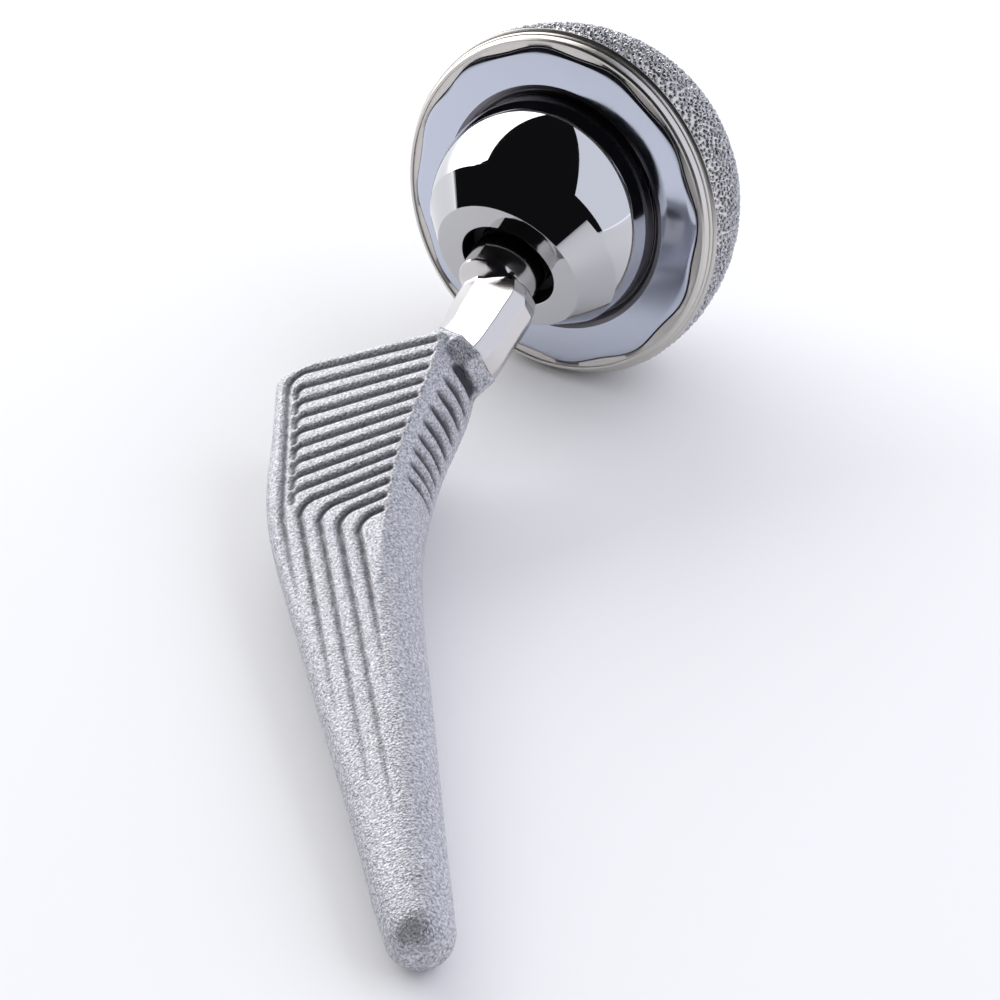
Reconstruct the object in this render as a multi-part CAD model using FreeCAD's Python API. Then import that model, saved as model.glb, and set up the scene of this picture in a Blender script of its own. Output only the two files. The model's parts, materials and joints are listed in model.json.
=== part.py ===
import FreeCAD, Part
import math
import os

from FreeCAD import Matrix, Vector

# Total hip implant: a grooved, rough-coated stem with a bare neck, a ball head on its
# taper, and a lobed liner in a porous shell. Millimetres.
# Working frame: the centre of the ball is the origin, +X medial, +Z proximal and
# -Y out of the broad face that looks up when the implant lies down.
# A level is a depth below the ball's centre, a station a distance down the neck from it.

# Stem body
offset = 41.8
neck_shaft_angle = 139.3
mid_thickness = 6.3
mid_level = 40.0
side_taper = 0.0175
tip_level = 136.2
tip_radius = 4.5
shoulder_height = 27.6
shoulder_slope = 0.30
shoulder_reach = 20.2
shoulder_corner_x = 6.2
shoulder_corner_run = 4.8
shoulder_corner_drop = 5.0

# Each outline row is: level, lateral reach, medial reach, medial bulge, lateral fillet.
# The reaches are measured from the shaft axis.
body_outline = [
    (22.0, 4.5, 28.0, 2.4, 2.3),
    (31.0, 6.1, 23.6, 2.3, 2.4),
    (39.0, 7.75, 19.7, 1.9, 2.5),
    (47.0, 9.15, 15.5, 1.8, 2.6),
    (55.0, 9.6, 12.7, 2.0, 2.7),
    (65.0, 9.25, 10.45, 2.7, 2.9),
    (80.0, 8.2, 8.6, 4.0, 3.2),
    (105.0, 6.4, 6.8, 4.5, 3.7),
    (130.0, 4.9, 5.0, 4.3, 4.2),
]

# Neck: each row is a station and the four corners of half the faceted section.
# A corner is: height towards the lateral side, half width.
neck_rows = [
    (19.2, [(3.9, 1.8), (0.2, 3.4), (-6.6, 3.4), (-8.3, 1.7)]),
    (21.5, [(3.8, 1.7), (0.0, 3.4), (-7.5, 3.4), (-9.3, 1.6)]),
    (25.0, [(3.4, 1.6), (-0.3, 3.4), (-7.7, 3.4), (-9.5, 1.6)]),
    (28.5, [(2.9, 1.5), (-0.7, 3.4), (-7.8, 3.6), (-9.7, 1.7)]),
    (34.0, [(4.5, 2.0), (0.5, 5.0), (-5.8, 5.4), (-9.4, 2.8)]),
    (41.0, [(5.0, 3.0), (1.0, 6.0), (-2.4, 6.0), (-5.6, 2.4)]),
]
neck_radius = 5.8
neck_round_end = 17.4

# Taper between stem and head
taper_base_radius = 6.0
taper_base_station = 14.6
taper_length = 16.0
taper_half_angle = 2.85
taper_clearance = 0.03
taper_chamfer = 0.6

# Head
head_radius = 18.0
head_face_station = 12.8
head_face_radius = 12.05
head_cone_radius = 16.05
bore_end_gap = 1.5
bore_mouth_radius = 7.9
bore_mouth_depth = 3.0
bore_mouth_taper = 0.5

# Cup, along its own axis from the ball's centre towards the opening
bearing_clearance = 0.1
cup_swing = 24.1
cup_azimuth = 99.0
seat_clearance = 0.1
shell_radius = 27.9
shell_centre = -3.8
shell_wall = 4.6
rim_bevel = 1.45
rim_height = -1.6
rim_groove_inset = 0.7
rim_groove_height = -2.8
rim_groove_width = 0.35
rim_band_step = 0.1
rim_inner_drop = 0.7
rim_width = 1.8
liner_back_centre = -2.5
liner_mouth_height = -2.2
liner_mouth_bevel = 1.1
liner_face_height = -1.3
liner_face_drop = 0.4
liner_flange = 2.6
lobe_reach = 0.9
lobe_count = 12
lobe_width = 10.6
lobe_phase = 3.0
lobe_root = 2.0
apex_hole_radius = 3.4

# Grooves in the broad faces, slots in the medial face and the inserter hole
groove_radius = 0.85
groove_depth = 0.5
row_count = 13
row_first_level = 29.25
row_pitch = 2.69
row_edge_gap = 0.9
row_bend_radius = 3.0
row_slope = 0.305
row_slope_step = 0.027
row_slope_least = 0.02
hook_radius = 1.4
hook_drop = 2.2
hook_gap = 1.45
column_spacing = 2.65
column_medial = -37.9
column_count = 5
column_end_level = 126.0
column_end_step = 7.0
column_end_depth = 0.15
kink_level = 54.0
kink_slope = 0.155
kink_radius = 11.2
bend_radius = 2.8
slot_count = 9
slot_first_level = 33.4
slot_pitch = 2.63
slot_radius = 0.9
slot_depth = 0.95
inserter_radius = 3.4
inserter_depth = 9.0
inserter_from_axis = 3.6

# Cutters run past what they cut, meshes that only measure are this fine, and the stem's
# smooth sides are curves of this degree
cut_margin = 1.0
mesh_tolerance = 0.05
loft_degree = 3

rim_radius = shell_radius - rim_bevel
rim_groove_radius = shell_radius - rim_groove_inset
liner_edge_radius = rim_radius - rim_width - seat_clearance
liner_back_radius = shell_radius - shell_wall - seat_clearance
socket_radius = head_radius + bearing_clearance
liner_face_inner = socket_radius + liner_mouth_bevel
shaft_x = -offset
neck_turn = math.radians(180.0 - neck_shaft_angle)
neck_down = Vector(-math.sin(neck_turn), 0, -math.cos(neck_turn))
neck_side = Vector(-math.cos(neck_turn), 0, math.sin(neck_turn))
taper_slope = math.tan(math.radians(taper_half_angle))


def half_thickness(level):
    return mid_thickness - side_taper * (level - mid_level)


def on_neck(station, height, width):
    return neck_down * station + neck_side * height + Vector(0, width, 0)


def body_section(level, lateral, medial, bulge, fillet):
    """Closed outline of the stem at one level: two flats, a medial arc, a filleted side."""
    half = half_thickness(level)
    z = -level
    ridge = shaft_x + medial - bulge
    side = shaft_x - lateral
    cut = fillet * (1 - math.sqrt(0.5))
    front_corner = Vector(side + fillet, -half, z)
    back_corner = Vector(side + fillet, half, z)
    front_ridge = Vector(ridge, -half, z)
    back_ridge = Vector(ridge, half, z)
    front_side = Vector(side, fillet - half, z)
    back_side = Vector(side, half - fillet, z)
    edges = [
        Part.makeLine(front_corner, front_ridge),
        Part.Arc(front_ridge, Vector(shaft_x + medial, 0, z), back_ridge).toShape(),
        Part.makeLine(back_ridge, back_corner),
        Part.Arc(back_corner, Vector(side + cut, half - cut, z), back_side).toShape(),
        Part.makeLine(back_side, front_side),
        Part.Arc(front_side, Vector(side + cut, cut - half, z), front_corner).toShape(),
    ]
    return Part.Wire(edges)


def round_section(level, radius, centre_x):
    """Six arcs of one circle that match the six edges of a body section."""
    angles = [-100.0, -60.0, 60.0, 100.0, 172.0, 188.0, 260.0]
    edges = []
    for start, end in zip(angles, angles[1:]):
        points = []
        for angle in (start, (start + end) / 2, end):
            turn = math.radians(angle)
            across = radius * math.cos(turn)
            points.append(Vector(centre_x + across, radius * math.sin(turn), -level))
        edges.append(Part.Arc(*points).toShape())
    return Part.Wire(edges)


def tip_centre():
    last = body_outline[-1]
    return Vector(shaft_x + (last[2] - last[1]) / 2, 0, -tip_level)


def shoulder_z(x):
    return -shoulder_height - shoulder_slope * (x + shoulder_reach)


def shoulder_prism():
    """Everything below the sloping shoulder, its lateral corner rounded off."""
    low = -tip_level - tip_radius - cut_margin
    inner = shaft_x + body_outline[0][2] + cut_margin
    outer = shaft_x - max(row[1] for row in body_outline) - cut_margin
    corner_x = shaft_x - shoulder_corner_x
    run_x = corner_x + shoulder_corner_run
    corner = Vector(corner_x, 0, shoulder_z(corner_x))
    run = Vector(run_x, 0, shoulder_z(run_x))
    drop = corner - Vector(0, 0, shoulder_corner_drop)
    middle = corner + (run - corner + drop - corner) * (1 - math.sqrt(0.5))
    points = [
        drop,
        Vector(outer, 0, drop.z),
        Vector(outer, 0, low),
        Vector(inner, 0, low),
        Vector(inner, 0, shoulder_z(inner)),
        run,
    ]
    edges = [Part.Arc(run, middle, drop).toShape()]
    for start, end in zip(points, points[1:]):
        edges.append(Part.makeLine(start, end))
    width = 4 * mid_thickness
    prism = Part.Face(Part.Wire(edges)).extrude(Vector(0, width, 0))
    prism.translate(Vector(0, -width / 2, 0))
    return prism


def stem_body():
    sections = [body_section(*row) for row in body_outline]
    blade = Part.makeLoft(sections, True, False, False, loft_degree)
    last = body_section(*body_outline[-1])
    round_end = round_section(tip_level, tip_radius, tip_centre().x)
    nose = Part.makeLoft([last, round_end], True, True)
    tip = Part.makeSphere(tip_radius, tip_centre(), Vector(0, 0, 1), -90, 0, 360)
    return blade.common(shoulder_prism()).fuse([nose, tip])


def neck():
    """Round bar below the taper that turns into a faceted neck and flares into the body."""
    corners = neck_rows[0][1]
    loop = corners + [(height, -width) for height, width in reversed(corners)]
    round_wire = []
    for start, end in zip(loop, loop[1:] + loop[:1]):
        angles = [math.atan2(start[1], start[0]), math.atan2(end[1], end[0])]
        if angles[1] - angles[0] > math.pi:
            angles[1] -= 2 * math.pi
        if angles[1] - angles[0] < -math.pi:
            angles[1] += 2 * math.pi
        points = []
        for angle in (angles[0], sum(angles) / 2, angles[1]):
            height = neck_radius * math.cos(angle)
            points.append(on_neck(neck_round_end, height, neck_radius * math.sin(angle)))
        round_wire.append(Part.Arc(*points).toShape())
    wires = [Part.Wire(round_wire)]
    for station, row in neck_rows:
        loop = row + [(height, -width) for height, width in reversed(row)]
        points = [on_neck(station, height, width) for height, width in loop]
        wires.append(Part.makePolygon(points + points[:1]))
    facets = Part.makeLoft(wires, True, True)
    bar_start = on_neck(taper_base_station, 0, 0)
    bar = Part.makeCylinder(neck_radius, neck_round_end - taper_base_station, bar_start, neck_down)
    return facets.fuse(bar)


def trunnion():
    tip_station = taper_base_station - taper_length
    tip_taper_radius = taper_base_radius - taper_length * taper_slope
    cone = Part.makeCone(taper_base_radius, tip_taper_radius, taper_length,
                         on_neck(taper_base_station, 0, 0), neck_down * -1)
    end = Part.makeCone(tip_taper_radius, tip_taper_radius - taper_chamfer, taper_chamfer,
                        on_neck(tip_station, 0, 0), neck_down * -1)
    return cone.fuse(end)


def face_point(x, level, depth):
    """Centre of a groove's round bottom, which lies outside the broad face."""
    return Vector(x, depth - groove_radius - half_thickness(level), -level)


def surface_x(body, level):
    probe = Part.makeLine(Vector(shaft_x, 0, -level), Vector(shaft_x + 3 * offset, 0, -level))
    return max(vertex.X for vertex in body.common(probe).Vertexes)


def ridge_x(level):
    """Medial end of the broad face, straight between the outline rows."""
    for upper, lower in zip(body_outline, body_outline[1:]):
        if upper[0] <= level <= lower[0]:
            part = (level - upper[0]) / (lower[0] - upper[0])
            upper_x = upper[2] - upper[3]
            return shaft_x + upper_x + part * (lower[2] - lower[3] - upper_x)
    return shaft_x


def groove_cutter(points, radius, bends):
    """Round cutter along straight runs joined by tangent arcs, with round ends."""
    pieces = [Part.makeSphere(radius, points[0]), Part.makeSphere(radius, points[-1])]
    start = points[0]
    for i, bend in enumerate(bends, 1):
        incoming = (points[i] - points[i - 1]).normalize()
        outgoing = (points[i + 1] - points[i]).normalize()
        turn = incoming.getAngle(outgoing)
        enter = points[i] - incoming * bend * math.tan(turn / 2)
        leave = points[i] + outgoing * bend * math.tan(turn / 2)
        axis = incoming.cross(outgoing).normalize()
        centre = enter + axis.cross(incoming).normalize() * bend
        disc = Part.Face(Part.Wire(Part.makeCircle(radius, enter, incoming)))
        pieces.append(disc.revolve(centre, axis, math.degrees(turn)))
        pieces.append(Part.makeCylinder(radius, start.distanceToPoint(enter), start, incoming))
        start = leave
    last = points[-1] - start
    pieces.append(Part.makeCylinder(radius, last.Length, start, last.normalize()))
    return pieces


def column_x(number, level=kink_level):
    """The outermost column leans towards the medial side above its kink."""
    lean = kink_slope * max(kink_level - level, 0) if number == column_count - 1 else 0
    return column_medial - column_spacing * number + lean


def corner_of(row, medial_x, slope, gap):
    """Where a row meets the leaning line that lies a gap inside the outermost column."""
    level = row_first_level + row_pitch * row
    line_x = column_x(column_count - 1, level - slope * medial_x) + gap
    x = line_x / (1 + kink_slope * slope)
    return x, level - slope * (medial_x - x)


def face_grooves():
    """Rows that fan out over one broad face; some turn down into upright, fading columns."""
    cutters = []
    turning = row_count - column_count + 1
    for row in range(row_count):
        level = row_first_level + row_pitch * row
        slope = max(row_slope_least, row_slope - row_slope_step * row)
        medial_x = ridge_x(level) - row_edge_gap
        column = column_count - 1 if row == 0 else row_count - 1 - row
        column_end = column_end_level - column_end_step * column
        if row < turning:
            gap = 0 if row == 0 else hook_gap
            corner_x, corner_level = corner_of(row, medial_x, slope, gap)
        else:
            corner_x = column_x(column)
            corner_level = level - slope * (medial_x - corner_x)
        points = [(medial_x, level), (corner_x, corner_level)]
        bends = [bend_radius]
        if row == 0:
            points += [(column_x(column), kink_level), (column_x(column), column_end)]
            bends = [row_bend_radius, kink_radius]
        elif row < turning:
            points.append((corner_x - kink_slope * hook_drop, corner_level + hook_drop))
            bends = [hook_radius]
        else:
            points.append((corner_x, column_end))
        path = [face_point(x, level, groove_depth) for x, level in points]
        if points[-1][1] == column_end:
            path[-1] = face_point(*points[-1], column_end_depth)
        cutters += groove_cutter(path, groove_radius, bends)
    return cutters


def medial_slots(whole):
    """Straight cuts across the curved medial face, which fade out towards its edges."""
    cutters = []
    for slot in range(slot_count):
        level = slot_first_level + slot_pitch * slot
        here = Vector(surface_x(whole, level), 0, -level)
        below = Vector(surface_x(whole, level + 1), 0, -level - 1)
        along = (below - here).normalize()
        outward = Vector(-along.z, 0, along.x)
        centre = here + outward * (slot_radius - slot_depth)
        start = centre - Vector(0, 2 * mid_thickness, 0)
        cutters.append(Part.makeCylinder(slot_radius, 4 * mid_thickness, start, Vector(0, 1, 0)))
    return cutters


def inserter_hole():
    x = shaft_x + inserter_from_axis
    down = Vector(-shoulder_slope, 0, -1).normalize()
    start = Vector(x, 0, shoulder_z(x)) - down * cut_margin
    return Part.makeCylinder(inserter_radius, inserter_depth + cut_margin, start, down)


def femoral_stem():
    """Cut on one side of its middle plane and mirrored, as both broad faces are alike."""
    whole = stem_body().fuse([neck(), trunnion()]).removeSplitter()
    cut = whole.cut(face_grooves() + medial_slots(whole) + [inserter_hole()])
    span = 2 * (tip_level + 2 * tip_radius)
    near_side = Part.makeBox(span, span, span, Vector(-span / 2, -span, -span / 2))
    half = cut.common(near_side)
    return half.fuse(half.mirror(Vector(0, 0, 0), Vector(0, 1, 0))).removeSplitter()


def femoral_head():
    """Ball cut by a cone and a flat annular face, with a tapered bore."""
    cone_station = math.sqrt(head_radius ** 2 - head_cone_radius ** 2)
    ball = Part.makeSphere(head_radius)
    blunt = Part.makeCone(head_cone_radius, head_face_radius, head_face_station - cone_station,
                          on_neck(cone_station, 0, 0), neck_down)
    keep_length = head_radius + cone_station
    keep_start = on_neck(-head_radius, 0, 0)
    keep = Part.makeCylinder(head_radius + cut_margin, keep_length, keep_start, neck_down)
    ball = ball.common(keep).fuse(blunt).removeSplitter()
    bore_bottom = taper_base_station - taper_length - taper_chamfer - bore_end_gap
    bore_length = head_face_station - bore_bottom
    mouth_radius = taper_base_radius - (taper_base_station - head_face_station) * taper_slope
    mouth_radius += taper_clearance
    bore = Part.makeCone(mouth_radius, mouth_radius - bore_length * taper_slope, bore_length,
                         on_neck(head_face_station, 0, 0), neck_down * -1)
    relief_end = bore_mouth_radius - bore_mouth_taper
    relief = Part.makeCone(bore_mouth_radius, relief_end, bore_mouth_depth,
                           on_neck(head_face_station, 0, 0), neck_down * -1)
    return ball.cut([bore, relief])


def turned(points):
    """Solid of revolution about Z from radius and height pairs."""
    corners = [Vector(radius, 0, height) for radius, height in points]
    face = Part.Face(Part.makePolygon(corners + corners[:1]))
    return face.revolve(Vector(0, 0, 0), Vector(0, 0, 1), 360)


def lobes(reach, low, high):
    """Ring of rounded lobes round the liner's edge, also used to cut their seats."""
    pieces = []
    half = lobe_width / 2
    start = math.sqrt(liner_edge_radius ** 2 - half ** 2)
    for index in range(lobe_count):
        points = [
            Vector(start - lobe_root, -half, low),
            Vector(start, -half, low),
            Vector(liner_edge_radius + reach, 0, low),
            Vector(start, half, low),
            Vector(start - lobe_root, half, low),
        ]
        edges = [
            Part.makeLine(points[0], points[1]),
            Part.Arc(points[1], points[2], points[3]).toShape(),
            Part.makeLine(points[3], points[4]),
            Part.makeLine(points[4], points[0]),
        ]
        lobe = Part.Face(Part.Wire(edges)).extrude(Vector(0, 0, high - low))
        turn = lobe_phase + index * 360.0 / lobe_count
        lobe.rotate(Vector(0, 0, 0), Vector(0, 0, 1), turn)
        pieces.append(lobe)
    return pieces


def acetabular_liner():
    """Polished bearing with a flat lobed face ring."""
    edge_height = liner_face_height - liner_face_drop
    under = edge_height - liner_flange
    plate = turned([
        (0, under),
        (liner_edge_radius, under),
        (liner_edge_radius, edge_height),
        (liner_face_inner, liner_face_height),
        (0, liner_face_height),
    ])
    back = Part.makeSphere(liner_back_radius, Vector(0, 0, liner_back_centre))
    behind = Part.makeCylinder(liner_back_radius, liner_back_radius * 2,
                               Vector(0, 0, under - liner_back_radius * 2))
    solid = plate.fuse([back.common(behind)] + lobes(lobe_reach, under, edge_height))
    socket = Part.makeSphere(socket_radius)
    mouth_radius = math.sqrt(socket_radius ** 2 - liner_mouth_height ** 2)
    mouth = turned([
        (0, liner_mouth_height),
        (mouth_radius, liner_mouth_height),
        (liner_face_inner, liner_face_height),
        (liner_face_inner, 0),
        (0, 0),
    ])
    return solid.removeSplitter().cut([socket, mouth])


def acetabular_shell():
    """Metal shell: bevelled rim with two bands and a groove, then a rough dome."""
    inner = liner_edge_radius + seat_clearance
    edge_height = liner_face_height - liner_face_drop
    seat = edge_height - liner_flange - seat_clearance
    rim = turned([
        (0, shell_centre),
        (shell_radius, shell_centre),
        (rim_groove_radius, rim_groove_height - rim_groove_width / 2),
        (rim_groove_radius - rim_groove_width, rim_groove_height),
        (rim_groove_radius - rim_band_step, rim_groove_height + rim_groove_width / 2),
        (rim_radius, rim_height),
        (inner, rim_height - rim_inner_drop),
        (0, rim_height - rim_inner_drop),
    ])
    dome = Part.makeSphere(shell_radius, Vector(0, 0, shell_centre))
    span = shell_radius + cut_margin
    below = Part.makeCylinder(span, span, Vector(0, 0, shell_centre - span))
    seat_plug = Part.makeCylinder(inner, -seat, Vector(0, 0, seat))
    hollow = Part.makeSphere(liner_back_radius + seat_clearance, Vector(0, 0, liner_back_centre))
    lower = Part.makeCylinder(shell_radius, shell_radius * 2, Vector(0, 0, seat - shell_radius * 2))
    hole = Part.makeCylinder(apex_hole_radius, shell_radius * 2, Vector(0, 0, -shell_radius * 2))
    seats = lobes(lobe_reach + seat_clearance, seat, 0)
    solid = rim.fuse(dome.common(below)).removeSplitter()
    return solid.cut([seat_plug, hollow.common(lower), hole] + seats)


def cup_matrix():
    """Takes the cup's own axis from +Z to its swung direction off the neck axis."""
    swing = math.radians(cup_swing)
    azimuth = math.radians(cup_azimuth)
    sideways = neck_side * math.cos(azimuth) + Vector(0, -1, 0) * math.sin(azimuth)
    axis = neck_down * math.cos(swing) + sideways * math.sin(swing)
    hinge = neck_down.cross(sideways)
    across = hinge.cross(axis)
    matrix = Matrix(across.x, hinge.x, axis.x, 0,
                    across.y, hinge.y, axis.y, 0,
                    across.z, hinge.z, axis.z, 0,
                    0, 0, 0, 1)
    return matrix, axis, hinge


def rest_matrix(stem):
    """Lays the implant on the floor: dome, stem tip and the lower side of the body touch it."""
    cup_axis = cup_matrix()[1]
    widest = max(body_outline, key=lambda row: row[1])
    body_points = [point for point in stem.tessellate(mesh_tolerance)[0] if point.z > -2 * widest[0]]
    up = Vector(0, -1, 0)
    for _ in range(20):
        dome = cup_axis * shell_centre - up * shell_radius
        tip = tip_centre() - up * tip_radius
        side = min(body_points, key=lambda point: point.dot(up))
        normal = (tip - dome).cross(side - dome).normalize()
        up = normal if normal.dot(up) > 0 else normal * -1
    floor = side.dot(up)
    proximal = Vector(0, 0, 1)
    forward = (proximal - up * proximal.dot(up)).normalize()
    right = forward.cross(up)
    return Matrix(right.x, right.y, right.z, 0,
                  forward.x, forward.y, forward.z, 0,
                  up.x, up.y, up.z, -floor,
                  0, 0, 0, 1)


def main():
    cup_turn = cup_matrix()[0]
    solids = {
        "femoral_stem": femoral_stem(),
        "femoral_head": femoral_head(),
        "acetabular_liner": acetabular_liner().transformShape(cup_turn, True),
        "acetabular_shell": acetabular_shell().transformShape(cup_turn, True),
    }
    rest = rest_matrix(solids["femoral_stem"])
    for name in solids:
        solids[name] = solids[name].transformShape(rest, True)
    box = FreeCAD.BoundBox()
    for solid in solids.values():
        for point in solid.tessellate(mesh_tolerance)[0]:
            box.add(point)
    for name, solid in solids.items():
        solid.translate(Vector(-box.Center.x, -box.Center.y, 0))
    print("box", box)
    os.makedirs("parts", exist_ok=True)
    for name, solid in solids.items():
        solid.exportStep("parts/" + name + ".step")
        print(name, solid.isValid(), len(solid.Solids), round(solid.Volume, 1))


main()
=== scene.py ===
import json
import math

import bmesh
import bpy
import numpy as np
from mathutils import Matrix, Vector


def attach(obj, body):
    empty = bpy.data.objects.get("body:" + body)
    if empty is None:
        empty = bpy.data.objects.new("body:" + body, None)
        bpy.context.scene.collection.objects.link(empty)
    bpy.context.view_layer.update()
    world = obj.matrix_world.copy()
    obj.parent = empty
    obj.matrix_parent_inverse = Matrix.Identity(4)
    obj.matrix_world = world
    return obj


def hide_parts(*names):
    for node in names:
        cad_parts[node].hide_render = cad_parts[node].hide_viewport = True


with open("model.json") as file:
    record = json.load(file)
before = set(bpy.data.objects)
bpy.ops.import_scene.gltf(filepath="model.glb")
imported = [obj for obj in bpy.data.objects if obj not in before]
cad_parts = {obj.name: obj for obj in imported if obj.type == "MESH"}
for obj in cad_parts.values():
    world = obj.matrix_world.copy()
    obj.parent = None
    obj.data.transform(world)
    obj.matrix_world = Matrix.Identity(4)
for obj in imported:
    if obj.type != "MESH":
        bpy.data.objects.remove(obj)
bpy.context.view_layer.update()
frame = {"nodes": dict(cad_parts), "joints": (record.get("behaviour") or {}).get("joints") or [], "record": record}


# The ball head is forged cobalt-chromium, ground and lapped to a mirror. A cone and a flat
# ring are turned at its open end, round the tapered bore that is pressed onto the neck.
MM = 0.001
ball_radius = 18.0
cone_radius = 16.05
cone_height = math.sqrt(ball_radius ** 2 - cone_radius ** 2)
face_height = 12.8
face_radius = 12.05
mouth_radius = 7.9
mouth_end_radius = 7.4
mouth_depth = 3.0
bore_radius = 6.0
bore_end = -3.5
cup_azimuth = math.radians(99.0)

joints = {joint["name"]: joint for joint in frame["joints"]}
ball_centre = Vector(joints["ball_turn"]["pos_m"])
neck_down = Vector(joints["ball_turn"]["axis"]).normalized()
swing_axis = Vector(joints["cup_swing"]["axis"]).normalized()


def standing(direction, across):
    """Frame at the ball's centre with Z along direction and X as near to across as it can be."""
    z = direction.normalized()
    x = (across - z * across.dot(z)).normalized()
    y = z.cross(x)
    return Matrix.Translation(ball_centre) @ Matrix((x, y, z)).transposed().to_4x4()


sideways = swing_axis.cross(neck_down)
neck_side = Matrix.Rotation(cup_azimuth, 3, neck_down) @ sideways
neck_frame = standing(neck_down, neck_side)


def linear(hex_colour):
    """An sRGB hex colour as linear RGBA."""
    values = [int(hex_colour[i:i + 2], 16) / 255 for i in (1, 3, 5)]
    return [v / 12.92 if v <= 0.04045 else ((v + 0.055) / 1.055) ** 2.4 for v in values] + [1.0]


def add(tree, kind, inputs=None, **settings):
    """Adds a node with its settings; an input is a value, or another node's output to link."""
    node = tree.nodes.new(kind)
    for name, value in settings.items():
        setattr(node, name, value)
    for key, value in (inputs or {}).items():
        if isinstance(value, bpy.types.NodeSocket):
            tree.links.new(value, node.inputs[key])
        else:
            node.inputs[key].default_value = value
    return node


def new_material(name):
    material = bpy.data.materials.new(name)
    material.use_nodes = True
    material.node_tree.nodes.clear()
    return material, material.node_tree


def rounded(corners, steps=4):
    """Profile through (radius, height, rounding) corners, each turned with its own small arc."""
    points = []
    for i, (radius, height, rounding) in enumerate(corners):
        here = Vector((radius, height))
        if rounding == 0 or i in (0, len(corners) - 1):
            points.append(here)
            continue
        before = (Vector(corners[i - 1][:2]) - here).normalized()
        after = (Vector(corners[i + 1][:2]) - here).normalized()
        half = before.angle(after) / 2
        reach = rounding / math.tan(half)
        centre = here + (before + after).normalized() * (rounding / math.sin(half))
        start, end = here + before * reach - centre, here + after * reach - centre
        for step in range(steps + 1):
            part = step / steps
            points.append(centre + (start.lerp(end, part)).normalized() * rounding)
    return points


def arc(centre_height, radius, start, end, steps):
    """Profile points on a circle about the axis; angles in degrees from straight up the axis."""
    points = []
    for step in range(steps + 1):
        angle = math.radians(start + (end - start) * step / steps)
        points.append(Vector((radius * math.sin(angle), centre_height + radius * math.cos(angle))))
    return points


def turned_mesh(name, profile, place, turns, closed=False):
    """Mesh turned about Z from profile points in mm. A point may be a function of the angle."""
    bm = bmesh.new()
    rings = []
    for point in profile:
        if not callable(point) and point[0] < 1e-6:
            rings.append([bm.verts.new((0, 0, point[1]))])
            continue
        ring = []
        for turn in range(turns):
            angle = 2 * math.pi * turn / turns
            radius, height = point(angle) if callable(point) else point
            ring.append(bm.verts.new((radius * math.cos(angle), radius * math.sin(angle), height)))
        rings.append(ring)
    pairs = list(zip(rings, rings[1:]))
    if closed:
        pairs.append((rings[-1], rings[0]))
    for first, second in pairs:
        for turn in range(turns):
            after = (turn + 1) % turns
            if len(first) == 1:
                bm.faces.new((first[0], second[turn], second[after]))
            elif len(second) == 1:
                bm.faces.new((first[after], first[turn], second[0]))
            else:
                bm.faces.new((first[turn], second[turn], second[after], first[after]))
    bmesh.ops.recalc_face_normals(bm, faces=bm.faces)
    mesh = bpy.data.meshes.new(name)
    bm.to_mesh(mesh)
    bm.free()
    mesh.transform(place @ Matrix.Scale(MM, 4))
    return mesh


def modified(mesh, name, kind, inputs=None, **settings):
    """Plain mesh of what one modifier makes from a mesh; inputs are those of its node tree."""
    holder = bpy.data.objects.new(name, mesh)
    bpy.context.scene.collection.objects.link(holder)
    modifier = holder.modifiers.new(name, kind)
    for setting, value in settings.items():
        setattr(modifier, setting, value)
    for identifier, value in (inputs or {}).items():
        modifier[identifier] = value
    seen = holder.evaluated_get(bpy.context.evaluated_depsgraph_get())
    made = bpy.data.meshes.new_from_object(seen)
    made.name = name
    holder.modifiers.remove(modifier)
    bpy.data.objects.remove(holder)
    return made


def piece(mesh, material, body, nodes, sharp=35.0, machined=True):
    """Object for a finished mesh, smooth up to the sharp angle, riding on its body. On a machined
    piece the wide faces keep their own normals, so that a reflection stays even up to an edge."""
    name = mesh.name
    mesh.shade_smooth()
    mesh.set_sharp_from_angle(angle=math.radians(sharp))
    mesh.materials.clear()
    mesh.materials.append(material)
    if machined:
        mesh = modified(mesh, name, "WEIGHTED_NORMAL", keep_sharp=True)
    made = bpy.data.objects.new(name, mesh)
    bpy.context.scene.collection.objects.link(made)
    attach(made, body)
    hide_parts(*nodes)
    return made


def lapped_cobalt_chrome():
    """Lapped to a mirror: a neutral silver that shows the room, with only a trace of haze."""
    material, tree = new_material("cobalt chrome, mirror lapped")
    place = add(tree, "ShaderNodeTexCoord")
    haze = add(tree, "ShaderNodeTexNoise", {
        "Vector": place.outputs["Object"], "Scale": 90.0, "Detail": 3.0})
    rough = add(tree, "ShaderNodeMapRange", {"Value": haze.outputs["Fac"], "From Min": 0.35, "From Max": 0.7,
                                             "To Min": 0.018, "To Max": 0.05})
    shine = add(tree, "ShaderNodeBsdfPrincipled", {
        "Base Color": linear("#C4C4C6"), "Metallic": 1.0, "Roughness": rough.outputs["Result"]})
    add(tree, "ShaderNodeOutputMaterial", {"Surface": shine.outputs["BSDF"]})
    return material


def bore_chrome_in_painted_shade():
    """Left as turned inside the bore, and so dull; its near black colour is painted shade, since little light gets
    back out.
    """
    material, tree = new_material("cobalt chrome, bore in painted shade")
    # Painted shade: a near black colour stands in for the shade deep in the bore.
    shine = add(tree, "ShaderNodeBsdfPrincipled", {
        "Base Color": linear("#29282B"), "Metallic": 1.0, "Roughness": 0.5})
    add(tree, "ShaderNodeOutputMaterial", {"Surface": shine.outputs["BSDF"]})
    return material


def inner_painted_shade(made, place, inside, material):
    """Second material, a darker one of painted shade, for the faces whose middle, in mm in the frame of the piece,
    lies inside.
    """
    made.data.materials.append(material)
    back = place.inverted()
    for polygon in made.data.polygons:
        if inside(back @ polygon.center / MM):
            polygon.material_index = 1


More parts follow.
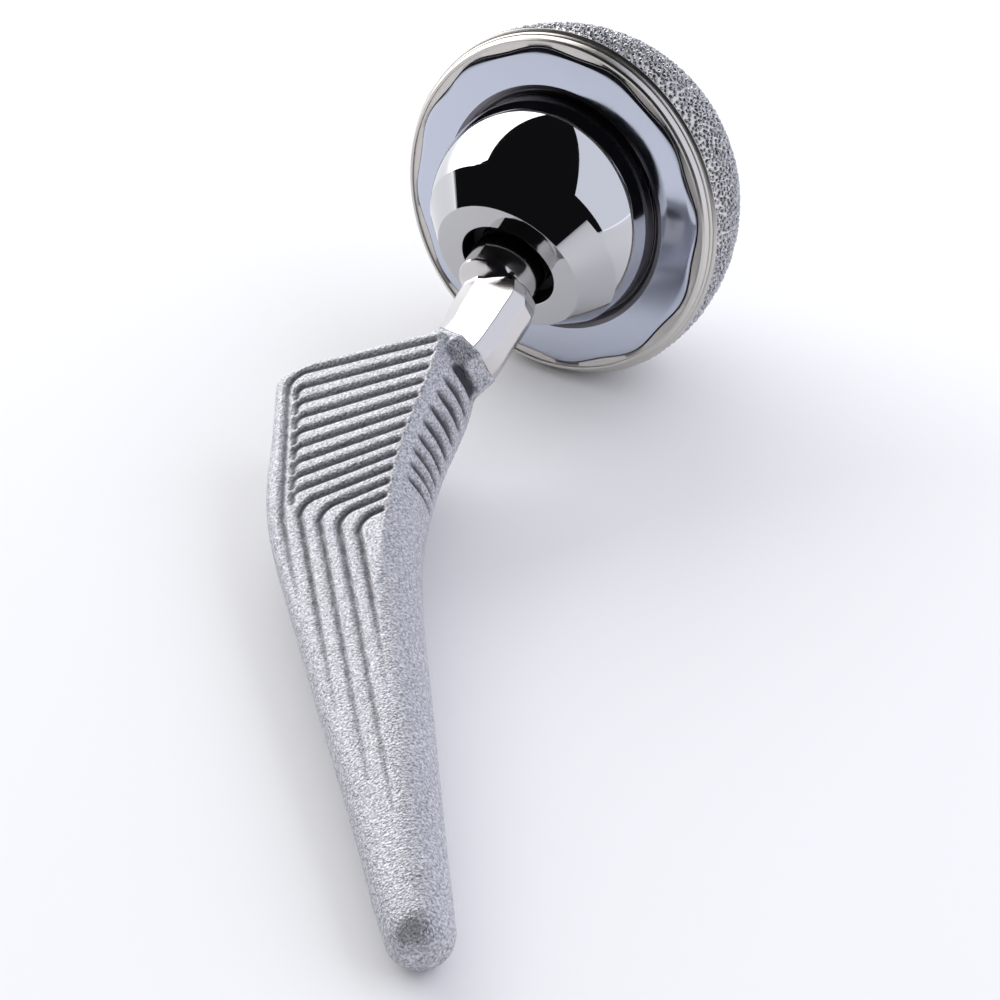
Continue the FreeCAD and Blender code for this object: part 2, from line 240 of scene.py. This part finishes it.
ball_profile = arc(0, ball_radius, 180, 90 - math.degrees(math.asin(cone_height / ball_radius)) + 0.6, 96)
ball_profile += rounded([
    (cone_radius + 0.1, cone_height - 0.2, 0),
    (cone_radius, cone_height, 0.12),
    (face_radius, face_height, 0.14),
    (mouth_radius, face_height, 0.18),
    (mouth_end_radius, face_height - mouth_depth, 0.2),
    (bore_radius, face_height - mouth_depth, 0.15),
    (bore_radius - 0.6, bore_end, 0.4),
    (0, bore_end, 0),
])
mirror_metal = lapped_cobalt_chrome()
head = piece(turned_mesh("ball_head", ball_profile, neck_frame, 256), mirror_metal,
             "head", ["femoral_head"])
# The bore and the recess at its mouth take a near black colour: painted shade for the deep hole.
inner_painted_shade(head, neck_frame, lambda spot: spot.xy.length < mouth_radius - 0.15 and spot.z > bore_end - 0.5,
             bore_chrome_in_painted_shade())


# The liner is the same cobalt-chromium, lapped inside for the ball. Its wide face ring is
# polished and all but flat, and twelve shallow lobes on its edge key into the shell.
cup_lean = math.radians(24.1)
socket_radius = 18.1
face_inner = 19.2
face_level = -1.3
face_drop = 0.4
liner_edge = 24.8
lobe_reach = 0.6
lobe_count = 12
lobe_phase = math.radians(3.0)
flange = 2.6
back_radius = 23.2
back_centre = -2.5
cup_turns = 480

cup_axis = Matrix.Rotation(cup_lean, 3, swing_axis) @ neck_down
cup_frame = standing(cup_axis, swing_axis.cross(cup_axis))


def satin_cobalt_chrome():
    """Polished, then left a little hazy: it shows the room softly, in a cool lavender silver."""
    material, tree = new_material("cobalt chrome, polished face")
    place = add(tree, "ShaderNodeTexCoord")
    haze = add(tree, "ShaderNodeTexNoise", {
        "Vector": place.outputs["Object"], "Scale": 120.0, "Detail": 3.0})
    rough = add(tree, "ShaderNodeMapRange", {"Value": haze.outputs["Fac"], "From Min": 0.35, "From Max": 0.7,
                                             "To Min": 0.07, "To Max": 0.14})
    shine = add(tree, "ShaderNodeBsdfPrincipled", {
        "Base Color": linear("#C0C5D3"), "Metallic": 1.0, "Roughness": rough.outputs["Result"]})
    add(tree, "ShaderNodeOutputMaterial", {"Surface": shine.outputs["BSDF"]})
    return material


def shaded_cobalt_chrome():
    """The socket beside the ball: a soft dark band of painted shade, as it sees little but the ball's own shadow.
    """
    material, tree = new_material("cobalt chrome, socket in painted shade")
    # Painted shade: a darker grey than the polished face ring, for the ball's shadow in the socket.
    shine = add(tree, "ShaderNodeBsdfPrincipled", {
        "Base Color": linear("#747277"), "Metallic": 1.0, "Roughness": 0.32})
    add(tree, "ShaderNodeOutputMaterial", {"Surface": shine.outputs["BSDF"]})
    return material


def lobed(angle, clearance):
    """Radius of the lobed edge, in mm: a shallow wave round the ring."""
    return liner_edge + lobe_reach * (0.5 + 0.5 * math.cos(lobe_count * (angle - lobe_phase))) + clearance


def lobed_at(height, clearance):
    return lambda angle: (lobed(angle, clearance), height)


edge_level = face_level - face_drop
flange_level = edge_level - flange
back_start = math.degrees(math.acos((flange_level - back_centre) / back_radius))
liner_profile = arc(0, socket_radius, 180, 97.0, 72)
liner_profile += rounded([
    (socket_radius, -2.2, 0),
    (face_inner - 0.35, face_level - 0.25, 0.3),
    (face_inner + 0.4, face_level - 0.08, 0.3),
    (liner_edge - 0.6, edge_level + 0.12, 0),
])
liner_profile += [lobed_at(edge_level, -0.3), lobed_at(edge_level - 0.08, -0.1),
                  lobed_at(edge_level - 0.3, 0.0), lobed_at(flange_level, 0.0)]
liner_profile += arc(back_centre, back_radius, back_start, 180, 64)
liner = piece(turned_mesh("liner", liner_profile, cup_frame, cup_turns), satin_cobalt_chrome(),
              "cup", ["acetabular_liner"])
# The socket and its bevel, inside the face ring, take a darker colour: painted shade from the ball.
inner_painted_shade(liner, cup_frame, lambda spot: spot.length < face_inner + 0.1, shaded_cobalt_chrome())


# The shell is turned from titanium bar. Its rim stays bare, with a bevel towards the liner and
# three bands with grooves between. The dome behind the rim carries the sintered beads.
shell_radius = 27.9
shell_centre = -3.8
rim_level = -1.6
rim_inner = 26.05
rim_step = 0.3
seat_gap = 0.1
hole_radius = 3.4
bead_radius = 0.42


def turned_titanium():
    """Turned to a satin: light and slightly warm, with the fine unevenness that the tool leaves."""
    material, tree = new_material("titanium, turned bright")
    place = add(tree, "ShaderNodeTexCoord")
    rings = add(tree, "ShaderNodeTexNoise", {
        "Vector": place.outputs["Object"], "Scale": 700.0, "Detail": 2.0})
    rough = add(tree, "ShaderNodeMapRange", {"Value": rings.outputs["Fac"], "To Min": 0.26, "To Max": 0.38})
    bump = add(tree, "ShaderNodeBump", {
        "Height": rings.outputs["Fac"], "Strength": 0.05, "Distance": 0.1 * MM})
    shine = add(tree, "ShaderNodeBsdfPrincipled", {
        "Base Color": linear("#CFCBC6"), "Metallic": 1.0, "Roughness": rough.outputs["Result"],
        "Normal": bump.outputs["Normal"]})
    add(tree, "ShaderNodeOutputMaterial", {"Surface": shine.outputs["BSDF"]})
    return material


seat_level = flange_level - seat_gap
hollow_start = math.degrees(math.acos((seat_level - back_centre) / (back_radius + seat_gap)))
hollow_end = 180 - math.degrees(math.asin(hole_radius / (back_radius + seat_gap)))
dome_radius = shell_radius - bead_radius
dome_end = 180 - math.degrees(math.asin(hole_radius / dome_radius))
shell_profile = arc(back_centre, back_radius + seat_gap, hollow_end, hollow_start, 40)
shell_profile += [lobed_at(seat_level, seat_gap), lobed_at(edge_level - 0.4, seat_gap),
                  lobed_at(edge_level - 0.3, seat_gap + 0.1)]
# Radius, height and rounding in mm, from the inside out: a step up from the seat, a narrow lip,
# a chamfer, and three bands with a fine groove between each two.
shell_profile += rounded([
    (rim_inner, rim_level - rim_step, 0.03),
    (rim_inner + 0.02, rim_level, 0.05),
    (26.45, rim_level, 0.1),
    (26.75, -1.9, 0.08),
    (27.0, -2.75, 0.05),
    (26.7, -2.85, 0.03),
    (27.1, -2.95, 0.05),
    (27.3, -3.35, 0.05),
    (27.0, -3.42, 0.02),
    (27.4, -3.5, 0.05),
    (shell_radius - 0.05, shell_centre, 0.1),
    (dome_radius, shell_centre - 0.3, 0),
])
shell_profile += arc(shell_centre, dome_radius, 91, dome_end, 64)
bright_titanium = turned_titanium()
piece(turned_mesh("shell", shell_profile, cup_frame, cup_turns, closed=True), bright_titanium,
      "cup", ["acetabular_shell"])


# The beads are titanium spheres under a millimetre, sintered to the dome in a close layer for
# bone to grow into. Each catches the light by itself, with dark gaps between.
bead_spacing = 0.74


def sintered_titanium():
    """Sintered beads: a satin grey metal that differs a little from bead to bead."""
    material, tree = new_material("titanium, sintered beads")
    place = add(tree, "ShaderNodeTexCoord")
    cells = add(tree, "ShaderNodeTexVoronoi", {
        "Vector": place.outputs["Object"], "Scale": 1 / (bead_spacing * MM)})
    tone = add(tree, "ShaderNodeMix", {
        "Factor": cells.outputs["Color"], 6: linear("#8C8C90"), 7: linear("#CFCFD2")}, data_type="RGBA")
    shine = add(tree, "ShaderNodeBsdfPrincipled", {
        "Base Color": tone.outputs[2], "Metallic": 1.0, "Roughness": 0.34})
    add(tree, "ShaderNodeOutputMaterial", {"Surface": shine.outputs["BSDF"]})
    return material


def bead_tree(material):
    tree = bpy.data.node_groups.new("sintered beads", "GeometryNodeTree")
    face = tree.interface
    face.new_socket("Geometry", in_out="INPUT", socket_type="NodeSocketGeometry")
    spacing = face.new_socket("Bead spacing", in_out="INPUT", socket_type="NodeSocketFloat")
    radius = face.new_socket("Bead radius", in_out="INPUT", socket_type="NodeSocketFloat")
    face.new_socket("Geometry", in_out="OUTPUT", socket_type="NodeSocketGeometry")
    start = add(tree, "NodeGroupInput")
    gap = start.outputs["Bead spacing"]
    density = add(tree, "ShaderNodeMath", {0: 4.0, 1: gap}, operation="DIVIDE")
    density = add(tree, "ShaderNodeMath", {0: density.outputs[0], 1: gap}, operation="DIVIDE")
    points = add(tree, "GeometryNodeDistributePointsOnFaces", {
        "Mesh": start.outputs["Geometry"], "Distance Min": gap,
        "Density Max": density.outputs[0], "Seed": 7}, distribute_method="POISSON")
    bead = add(tree, "GeometryNodeMeshIcoSphere", {
        "Radius": start.outputs["Bead radius"], "Subdivisions": 1})
    size = add(tree, "FunctionNodeRandomValue", {2: 0.8, 3: 1.15, "Seed": 3}, data_type="FLOAT")
    turn = add(tree, "FunctionNodeRandomValue", {0: (0, 0, 0), 1: (6.28, 6.28, 6.28), "Seed": 5},
               data_type="FLOAT_VECTOR")
    placed = add(tree, "GeometryNodeInstanceOnPoints", {
        "Points": points.outputs["Points"], "Instance": bead.outputs["Mesh"],
        "Rotation": turn.outputs[0], "Scale": size.outputs[1]})
    real = add(tree, "GeometryNodeRealizeInstances", {"Geometry": placed.outputs["Instances"]})
    dressed = add(tree, "GeometryNodeSetMaterial", {
        "Geometry": real.outputs["Geometry"], "Material": material})
    add(tree, "NodeGroupOutput", {"Geometry": dressed.outputs["Geometry"]})
    return tree, {"spacing": spacing.identifier, "radius": radius.identifier}


bead_metal = sintered_titanium()
bead_group, bead_inputs = bead_tree(bead_metal)
bead_end = dome_end - 1.5
bead_base = turned_mesh("bead_base", arc(shell_centre, dome_radius, 90.5, bead_end, 64), cup_frame, 256)
bead_mesh = modified(bead_base, "dome_beads", "NODES", node_group=bead_group, inputs={
    bead_inputs["spacing"]: bead_spacing * MM, bead_inputs["radius"]: bead_radius * MM})
piece(bead_mesh, bead_metal, "cup", ["acetabular_shell"], sharp=20.0,
      machined=False)


# The stem is forged titanium alloy. Its neck and taper stay bare and polished: the round taper
# runs into a neck with ground flats, which widens into the body and ends at the coat's edge.
neck_shaft_angle = 139.3
taper_top = -1.4
taper_top_radius = 5.2
taper_end = 14.6
taper_end_radius = 6.0
taper_chamfer = 0.6
bar_radius = 5.8
bar_end = 17.4
# Each row is a station below the ball's centre and four corners of half the section. A corner
# is its height towards the lateral side, its half width and its rounding, all in mm.
neck_rows = [
    (19.2, [(3.9, 1.8, 0.4), (0.2, 3.4, 0.3), (-6.8, 3.4, 0.2), (-8.3, 1.7, 0.8)]),
    (21.5, [(3.8, 1.7, 0.4), (0.0, 3.4, 0.3), (-7.9, 3.4, 0.2), (-9.3, 1.5, 0.9)]),
    (25.0, [(3.4, 1.6, 0.4), (-0.3, 3.4, 0.3), (-8.1, 3.4, 0.2), (-9.5, 1.4, 0.9)]),
    (28.5, [(2.9, 1.5, 0.4), (-0.7, 3.4, 0.3), (-8.2, 3.4, 0.2), (-9.7, 1.4, 0.9)]),
    (34.0, [(4.5, 1.6, 0.4), (0.5, 3.5, 0.3), (-8.0, 3.6, 0.2), (-9.4, 1.7, 0.9)]),
    (41.0, [(5.0, 1.8, 0.4), (1.0, 3.6, 0.3), (-4.2, 3.7, 0.2), (-5.6, 1.9, 0.9)]),
]
coat_edge = Vector((-18.2, 0.0, -26.3))
coat_normal = Vector((0.891, 0.0, 0.454))
coat_step = 0.25

neck_turn = math.radians(180 - neck_shaft_angle)
medial = -math.sin(neck_turn) * neck_down - math.cos(neck_turn) * neck_side
proximal = math.sin(neck_turn) * neck_side - math.cos(neck_turn) * neck_down
stem_frame = standing(proximal, medial)


def ground_titanium():
    """Titanium polished along the neck: bright, with a faint lengthwise grain."""
    material, tree = new_material("titanium, polished neck")
    place = add(tree, "ShaderNodeTexCoord")
    haze = add(tree, "ShaderNodeTexNoise", {
        "Vector": place.outputs["Object"], "Scale": 260.0, "Detail": 3.0})
    rough = add(tree, "ShaderNodeMapRange", {"Value": haze.outputs["Fac"], "From Min": 0.3, "From Max": 0.7,
                                             "To Min": 0.10, "To Max": 0.16})
    shine = add(tree, "ShaderNodeBsdfPrincipled", {
        "Base Color": linear("#CBC8C7"), "Metallic": 1.0, "Roughness": rough.outputs["Result"]})
    add(tree, "ShaderNodeOutputMaterial", {"Surface": shine.outputs["BSDF"]})
    return material


def smooth_between(rows, station):
    """Corners at a station, on a smooth curve through the rows on both sides of it."""
    index = max(i for i, row in enumerate(rows[:-1]) if row[0] <= station)
    picked = [rows[min(max(index + step, 0), len(rows) - 1)] for step in (-1, 0, 1, 2)]
    start, end = picked[1][0], picked[2][0]
    part = (station - start) / (end - start)
    values = [np.array(row[1]) for row in picked]
    lead = (values[2] - values[0]) * (end - start) / (end - picked[0][0])
    trail = (values[3] - values[1]) * (end - start) / max(picked[3][0] - start, end - start)
    square, cube = part ** 2, part ** 3
    return (values[1] * (2 * cube - 3 * square + 1) + lead * (cube - 2 * square + part)
            + values[2] * (3 * square - 2 * cube) + trail * (cube - square))


def rounded_loop(corners, side_points=6, arc_points=6):
    """Closed loop with rounded corners and points along its sides; the corners are one half."""
    loop = [Vector(corner[:2]) for corner in corners] + [Vector((h, -w)) for h, w, _ in reversed(corners)]
    rounding = [corner[2] for corner in corners] + [corner[2] for corner in reversed(corners)]
    arcs = []
    for i, here in enumerate(loop):
        before = (loop[i - 1] - here).normalized()
        after = (loop[(i + 1) % len(loop)] - here).normalized()
        half = before.angle(after) / 2
        reach = rounding[i] / math.tan(half)
        centre = here + (before + after).normalized() * (rounding[i] / math.sin(half))
        start, end = here + before * reach - centre, here + after * reach - centre
        arcs.append([centre + start.lerp(end, step / arc_points).normalized() * rounding[i]
                     for step in range(arc_points + 1)])
    points = []
    for i, curve in enumerate(arcs):
        points += curve
        following = arcs[(i + 1) % len(arcs)][0]
        points += [curve[-1].lerp(following, step / side_points) for step in range(1, side_points)]
    return points


def lofted_mesh(name, loops, place):
    """Closed mesh through loops of equal length, each a list of points in mm, capped flat."""
    bm = bmesh.new()
    rings = [[bm.verts.new(point) for point in loop] for loop in loops]
    for first, second in zip(rings, rings[1:]):
        for i in range(len(first)):
            after = (i + 1) % len(first)
            bm.faces.new((first[i], first[after], second[after], second[i]))
    bm.faces.new(rings[0])
    bm.faces.new(rings[-1])
    bmesh.ops.recalc_face_normals(bm, faces=bm.faces)
    mesh = bpy.data.meshes.new(name)
    bm.to_mesh(mesh)
    bm.free()
    mesh.transform(place @ Matrix.Scale(MM, 4))
    return mesh


def clipped(mesh, point, normal):
    """Keeps what lies behind a plane and closes the cut, in place."""
    bm = bmesh.new()
    bm.from_mesh(mesh)
    bmesh.ops.remove_doubles(bm, verts=bm.verts, dist=0.001 * MM)
    everything = bm.verts[:] + bm.edges[:] + bm.faces[:]
    cut = bmesh.ops.bisect_plane(bm, geom=everything, plane_co=point, plane_no=normal, clear_outer=True)
    rim = [part for part in cut["geom_cut"] if isinstance(part, bmesh.types.BMEdge)]
    bmesh.ops.edgeloop_fill(bm, edges=rim)
    bmesh.ops.recalc_face_normals(bm, faces=bm.faces)
    bm.to_mesh(mesh)
    bm.free()


def on_station(loop, station):
    return [Vector((point[0], point[1], station)) for point in loop]


first_loop = rounded_loop(smooth_between(neck_rows, neck_rows[0][0]))
turns = [math.atan2(point[1], point[0]) for point in first_loop]


def ring_at(radius, station):
    return [Vector((radius * math.cos(turn), radius * math.sin(turn), station)) for turn in turns]


blend_steps = 6
stations = np.linspace(neck_rows[0][0], neck_rows[-1][0], 88)
neck_loops = [ring_at(taper_top_radius - taper_chamfer, taper_top - taper_chamfer),
              ring_at(taper_top_radius, taper_top),
              ring_at(taper_end_radius, taper_end - taper_chamfer),
              ring_at(bar_radius, taper_end + taper_chamfer),
              ring_at(bar_radius, bar_end - 0.5)]
for step in range(blend_steps):
    part = step / blend_steps
    ease = part * part * (3 - 2 * part)
    round_ring = ring_at(bar_radius, bar_end + (neck_rows[0][0] - bar_end) * part)
    flat_ring = on_station(first_loop, round_ring[0][2])
    neck_loops.append([a.lerp(b, ease) for a, b in zip(round_ring, flat_ring)])
for station in stations:
    neck_loops.append(on_station(rounded_loop(smooth_between(neck_rows, station)), station))
neck_mesh = lofted_mesh("neck", neck_loops, neck_frame)
coat_point = stem_frame @ (coat_edge * MM)
coat_direction = (stem_frame.to_3x3() @ coat_normal).normalized()
clipped(neck_mesh, coat_point - coat_direction * coat_step * MM, -coat_direction)
polished_titanium = ground_titanium()
piece(neck_mesh, polished_titanium, "stem", ["femoral_stem"], sharp=24.0)


# Below the neck the stem is blasted and sprayed with a rough titanium coat, over its grooves
# and slots as well. The coat is matt grey and grainy, with painted shade darkening it deep in the grooves.
coat_voxel = 0.32
coat_wave = 0.9
coat_height = 0.09
grain_size = 0.36
grain_relief = 0.12
# How deep a hollow must be, in mm, to take the full painted shade, and how far the blur spreads that measures it.
painted_shade_depth = 0.16
painted_shade_spread = 14


def sprayed_titanium():
    """Plasma-sprayed coat: a matt light grey with grains of a few tenths of a millimetre, and painted shade
    darkening it in the hollows.
    """
    material, tree = new_material("titanium, plasma sprayed")
    place = add(tree, "ShaderNodeTexCoord")
    spot = place.outputs["Object"]
    grains = add(tree, "ShaderNodeTexVoronoi", {"Vector": spot, "Scale": 1 / (grain_size * MM)})
    cloud = add(tree, "ShaderNodeTexNoise", {
        "Vector": spot, "Scale": 1 / (grain_size * MM), "Detail": 4.0, "Roughness": 0.6})
    tone = add(tree, "ShaderNodeValToRGB", {"Fac": cloud.outputs["Fac"]})
    tone.color_ramp.elements[0].position = 0.32
    tone.color_ramp.elements[0].color = linear("#82838A")
    tone.color_ramp.elements[1].position = 0.66
    tone.color_ramp.elements[1].color = linear("#E4E4EA")
    # Painted shade: the colour darkens towards #4A4A50 the deeper a point lies in a hollow.
    deep = add(tree, "ShaderNodeAttribute", attribute_name="painted_hollow_shade")
    shade = add(tree, "ShaderNodeMix", {
        "Factor": deep.outputs["Fac"], 6: tone.outputs["Color"], 7: linear("#4A4A50")}, data_type="RGBA")
    height = add(tree, "ShaderNodeMath", {0: cloud.outputs["Fac"], 1: grains.outputs["Distance"]},
                 operation="SUBTRACT")
    bump = add(tree, "ShaderNodeBump", {
        "Height": height.outputs[0], "Strength": 0.8, "Distance": grain_relief * MM})
    shine = add(tree, "ShaderNodeBsdfPrincipled", {
        "Base Color": shade.outputs[2], "Metallic": 0.7, "Roughness": 0.5, "Normal": bump.outputs["Normal"]})
    add(tree, "ShaderNodeOutputMaterial", {"Surface": shine.outputs["BSDF"]})
    return material


def coat_tree(material):
    """Waves the surface as the spray leaves it and stores how deep each point lies in a hollow, as the mask of the
    painted shade there.
    """
    tree = bpy.data.node_groups.new("sprayed coat", "GeometryNodeTree")
    face = tree.interface
    face.new_socket("Geometry", in_out="INPUT", socket_type="NodeSocketGeometry")
    wave = face.new_socket("Wave length", in_out="INPUT", socket_type="NodeSocketFloat")
    height = face.new_socket("Wave height", in_out="INPUT", socket_type="NodeSocketFloat")
    depth = face.new_socket("Painted shade depth", in_out="INPUT", socket_type="NodeSocketFloat")
    face.new_socket("Geometry", in_out="OUTPUT", socket_type="NodeSocketGeometry")
    start = add(tree, "NodeGroupInput")
    here = add(tree, "GeometryNodeInputPosition")
    outward = add(tree, "GeometryNodeInputNormal")
    # Measures how deep each point lies in a hollow, for the painted shade.
    spread = add(tree, "GeometryNodeBlurAttribute", {"Iterations": painted_shade_spread}, data_type="FLOAT_VECTOR")
    vector_in = [socket for socket in spread.inputs if socket.type == "VECTOR" and socket.enabled][0]
    vector_out = [socket for socket in spread.outputs if socket.type == "VECTOR" and socket.enabled][0]
    tree.links.new(here.outputs[0], vector_in)
    lift = add(tree, "ShaderNodeVectorMath", {0: vector_out, 1: here.outputs[0]}, operation="SUBTRACT")
    inward = add(tree, "ShaderNodeVectorMath", {0: lift.outputs["Vector"], 1: outward.outputs[0]},
                 operation="DOT_PRODUCT")
    share = add(tree, "ShaderNodeMath", {0: inward.outputs["Value"], 1: start.outputs["Painted shade depth"]},
                operation="DIVIDE", use_clamp=True)
    marked = add(tree, "GeometryNodeStoreNamedAttribute", {
        "Geometry": start.outputs["Geometry"], "Name": "painted_hollow_shade", "Value": share.outputs[0]})
    scale = add(tree, "ShaderNodeMath", {0: 1.0, 1: start.outputs["Wave length"]}, operation="DIVIDE")
    noise = add(tree, "ShaderNodeTexNoise", {
        "Vector": here.outputs[0], "Scale": scale.outputs[0], "Detail": 3.0})
    centred = add(tree, "ShaderNodeMath", {0: noise.outputs["Fac"], 1: 0.5}, operation="SUBTRACT")
    amount = add(tree, "ShaderNodeMath", {0: centred.outputs[0], 1: start.outputs["Wave height"]},
                 operation="MULTIPLY")
    offset = add(tree, "ShaderNodeVectorMath", {0: outward.outputs[0], "Scale": amount.outputs[0]},
                 operation="SCALE")
    moved = add(tree, "GeometryNodeSetPosition", {
        "Geometry": marked.outputs["Geometry"], "Offset": offset.outputs["Vector"]})
    dressed = add(tree, "GeometryNodeSetMaterial", {
        "Geometry": moved.outputs["Geometry"], "Material": material})
    add(tree, "NodeGroupOutput", {"Geometry": dressed.outputs["Geometry"]})
    return tree, {"wave": wave.identifier, "height": height.identifier, "depth": depth.identifier}


coat_metal = sprayed_titanium()
coat_base = frame["nodes"]["femoral_stem"].data.copy()
clipped(coat_base, coat_point, coat_direction)
coat_group, coat_inputs = coat_tree(coat_metal)
coat_even = modified(coat_base, "coat_base", "REMESH", mode="VOXEL", voxel_size=coat_voxel * MM)
coat_mesh = modified(coat_even, "sprayed_coat", "NODES", node_group=coat_group, inputs={
    coat_inputs["wave"]: coat_wave * MM, coat_inputs["height"]: coat_height * MM,
    coat_inputs["depth"]: painted_shade_depth * MM})
piece(coat_mesh, coat_metal, "stem", ["femoral_stem"], sharp=180.0, machined=False)


# Two holes are tapped for the surgeon's tools: one in the stem's shoulder for the inserter's
# tip and one through the shell's dome. Each thread is cut in the metal and left bare.
thread_pitch = 1.25
thread_depth = 0.35
thread_wall = 0.25
thread_step = 0.125
mouth_gap = 0.5


def thread_mesh(name, mount):
    """Sleeve with a helical thread inside it, down a mount's hole from just under its mouth."""
    radius, length = mount["dims"]["r_mm"], mount["dims"]["length_mm"]

    def on_helix(height):
        def point(angle):
            part = (height / thread_pitch - angle / (2 * math.pi)) % 1.0
            return radius - thread_depth * (1 - abs(2 * part - 1)), -height
        return point

    steps = int((length - 2 * mouth_gap) / thread_step)
    profile = [on_helix(mouth_gap + step * thread_step) for step in range(steps + 1)]
    profile += [(radius + thread_wall, mouth_gap - length), (radius + thread_wall, -mouth_gap)]
    axis = Vector(mount["axis"]).normalized()
    place = Matrix.Translation(Vector(mount["pos_m"])) @ axis.to_track_quat("Z", "X").to_matrix().to_4x4()
    return turned_mesh(name, profile, place, 96, closed=True)


mounts = {mount["name"]: mount for mount in frame["record"]["mounts"]}
piece(thread_mesh("inserter_thread", mounts["inserter_hole"]), polished_titanium,
      "stem", ["femoral_stem"])
piece(thread_mesh("apex_thread", mounts["apex_hole"]), bright_titanium,
      "cup", ["acetabular_shell"])


# The studio: the implant lies on a plain pale table, between two large soft lights, one
# behind it to the left and one to the right. The room overhead and behind the camera is dark.
focal_pixels = 3120.0
picture_size = 1000
camera_azimuth = math.radians(-8.87)
camera_elevation = math.radians(33.54)
ball_depth = 0.480
ball_pixel = (547.0, 211.0)


def soft_light(name, azimuth, elevation, distance, width, height, power, colour):
    """Area light that faces the ball from a direction, in degrees, with 0 along +Y."""
    a, e = math.radians(azimuth), math.radians(elevation)
    out = Vector((math.sin(a) * math.cos(e), math.cos(a) * math.cos(e), math.sin(e)))
    light = bpy.data.lights.new(name, "AREA")
    light.shape = "RECTANGLE"
    light.size = width
    light.size_y = height
    light.energy = power
    light.color = linear(colour)[:3]
    made = bpy.data.objects.new(name, light)
    made.location = ball_centre + out * distance
    made.rotation_mode = "QUATERNION"
    made.rotation_quaternion = out.to_track_quat("Z", "Y")
    made.visible_camera = False
    bpy.context.scene.collection.objects.link(made)
    return made


soft_light("left_softbox", -22, 20, 1.0, 1.5, 1.1, 15.0, "#FFFFFF")
soft_light("right_softbox", 88, 28, 1.0, 2.5, 1.45, 13.0, "#EEF2FF")

table_mesh = bpy.data.meshes.new("table")
bm = bmesh.new()
bmesh.ops.create_circle(bm, cap_ends=True, segments=96, radius=6.0)
bm.to_mesh(table_mesh)
bm.free()
table, tree = new_material("table, matt white paper")
paper = add(tree, "ShaderNodeBsdfPrincipled", {"Base Color": linear("#F2F2F4"), "Roughness": 0.9})
add(tree, "ShaderNodeOutputMaterial", {"Surface": paper.outputs["BSDF"]})
table_mesh.materials.append(table)
floor = bpy.data.objects.new("table", table_mesh)
bpy.context.scene.collection.objects.link(floor)

world = bpy.data.worlds.new("room")
world.use_nodes = True
world.node_tree.nodes.clear()
seen = add(world.node_tree, "ShaderNodeLightPath")
dark = add(world.node_tree, "ShaderNodeBackground", {"Color": linear("#161618"), "Strength": 1.0})
pale = add(world.node_tree, "ShaderNodeBackground", {"Color": linear("#F6F6F8"), "Strength": 0.6})
both = add(world.node_tree, "ShaderNodeMixShader", {
    0: seen.outputs["Is Glossy Ray"], 1: pale.outputs[0], 2: dark.outputs[0]})
add(world.node_tree, "ShaderNodeOutputWorld", {"Surface": both.outputs[0]})
bpy.context.scene.world = world
bpy.context.scene.view_settings.view_transform = "Standard"

camera = bpy.data.cameras.new("camera")
camera.sensor_width = 36.0
camera.lens = focal_pixels / picture_size * camera.sensor_width
camera.clip_start = 0.01
camera.clip_end = 30.0
forward = Vector((-math.sin(camera_azimuth) * math.cos(camera_elevation),
                  math.cos(camera_azimuth) * math.cos(camera_elevation), -math.sin(camera_elevation)))
right = forward.cross(Vector((0, 0, 1))).normalized()
down = forward.cross(right)
across = (ball_pixel[0] - picture_size / 2) / focal_pixels * ball_depth
below = (ball_pixel[1] - picture_size / 2) / focal_pixels * ball_depth
eye = bpy.data.objects.new("camera", camera)
eye.location = ball_centre - forward * ball_depth - right * across - down * below
eye.rotation_mode = "QUATERNION"
eye.rotation_quaternion = forward.to_track_quat("-Z", "Y")
bpy.context.scene.collection.objects.link(eye)
bpy.context.scene.camera = eye
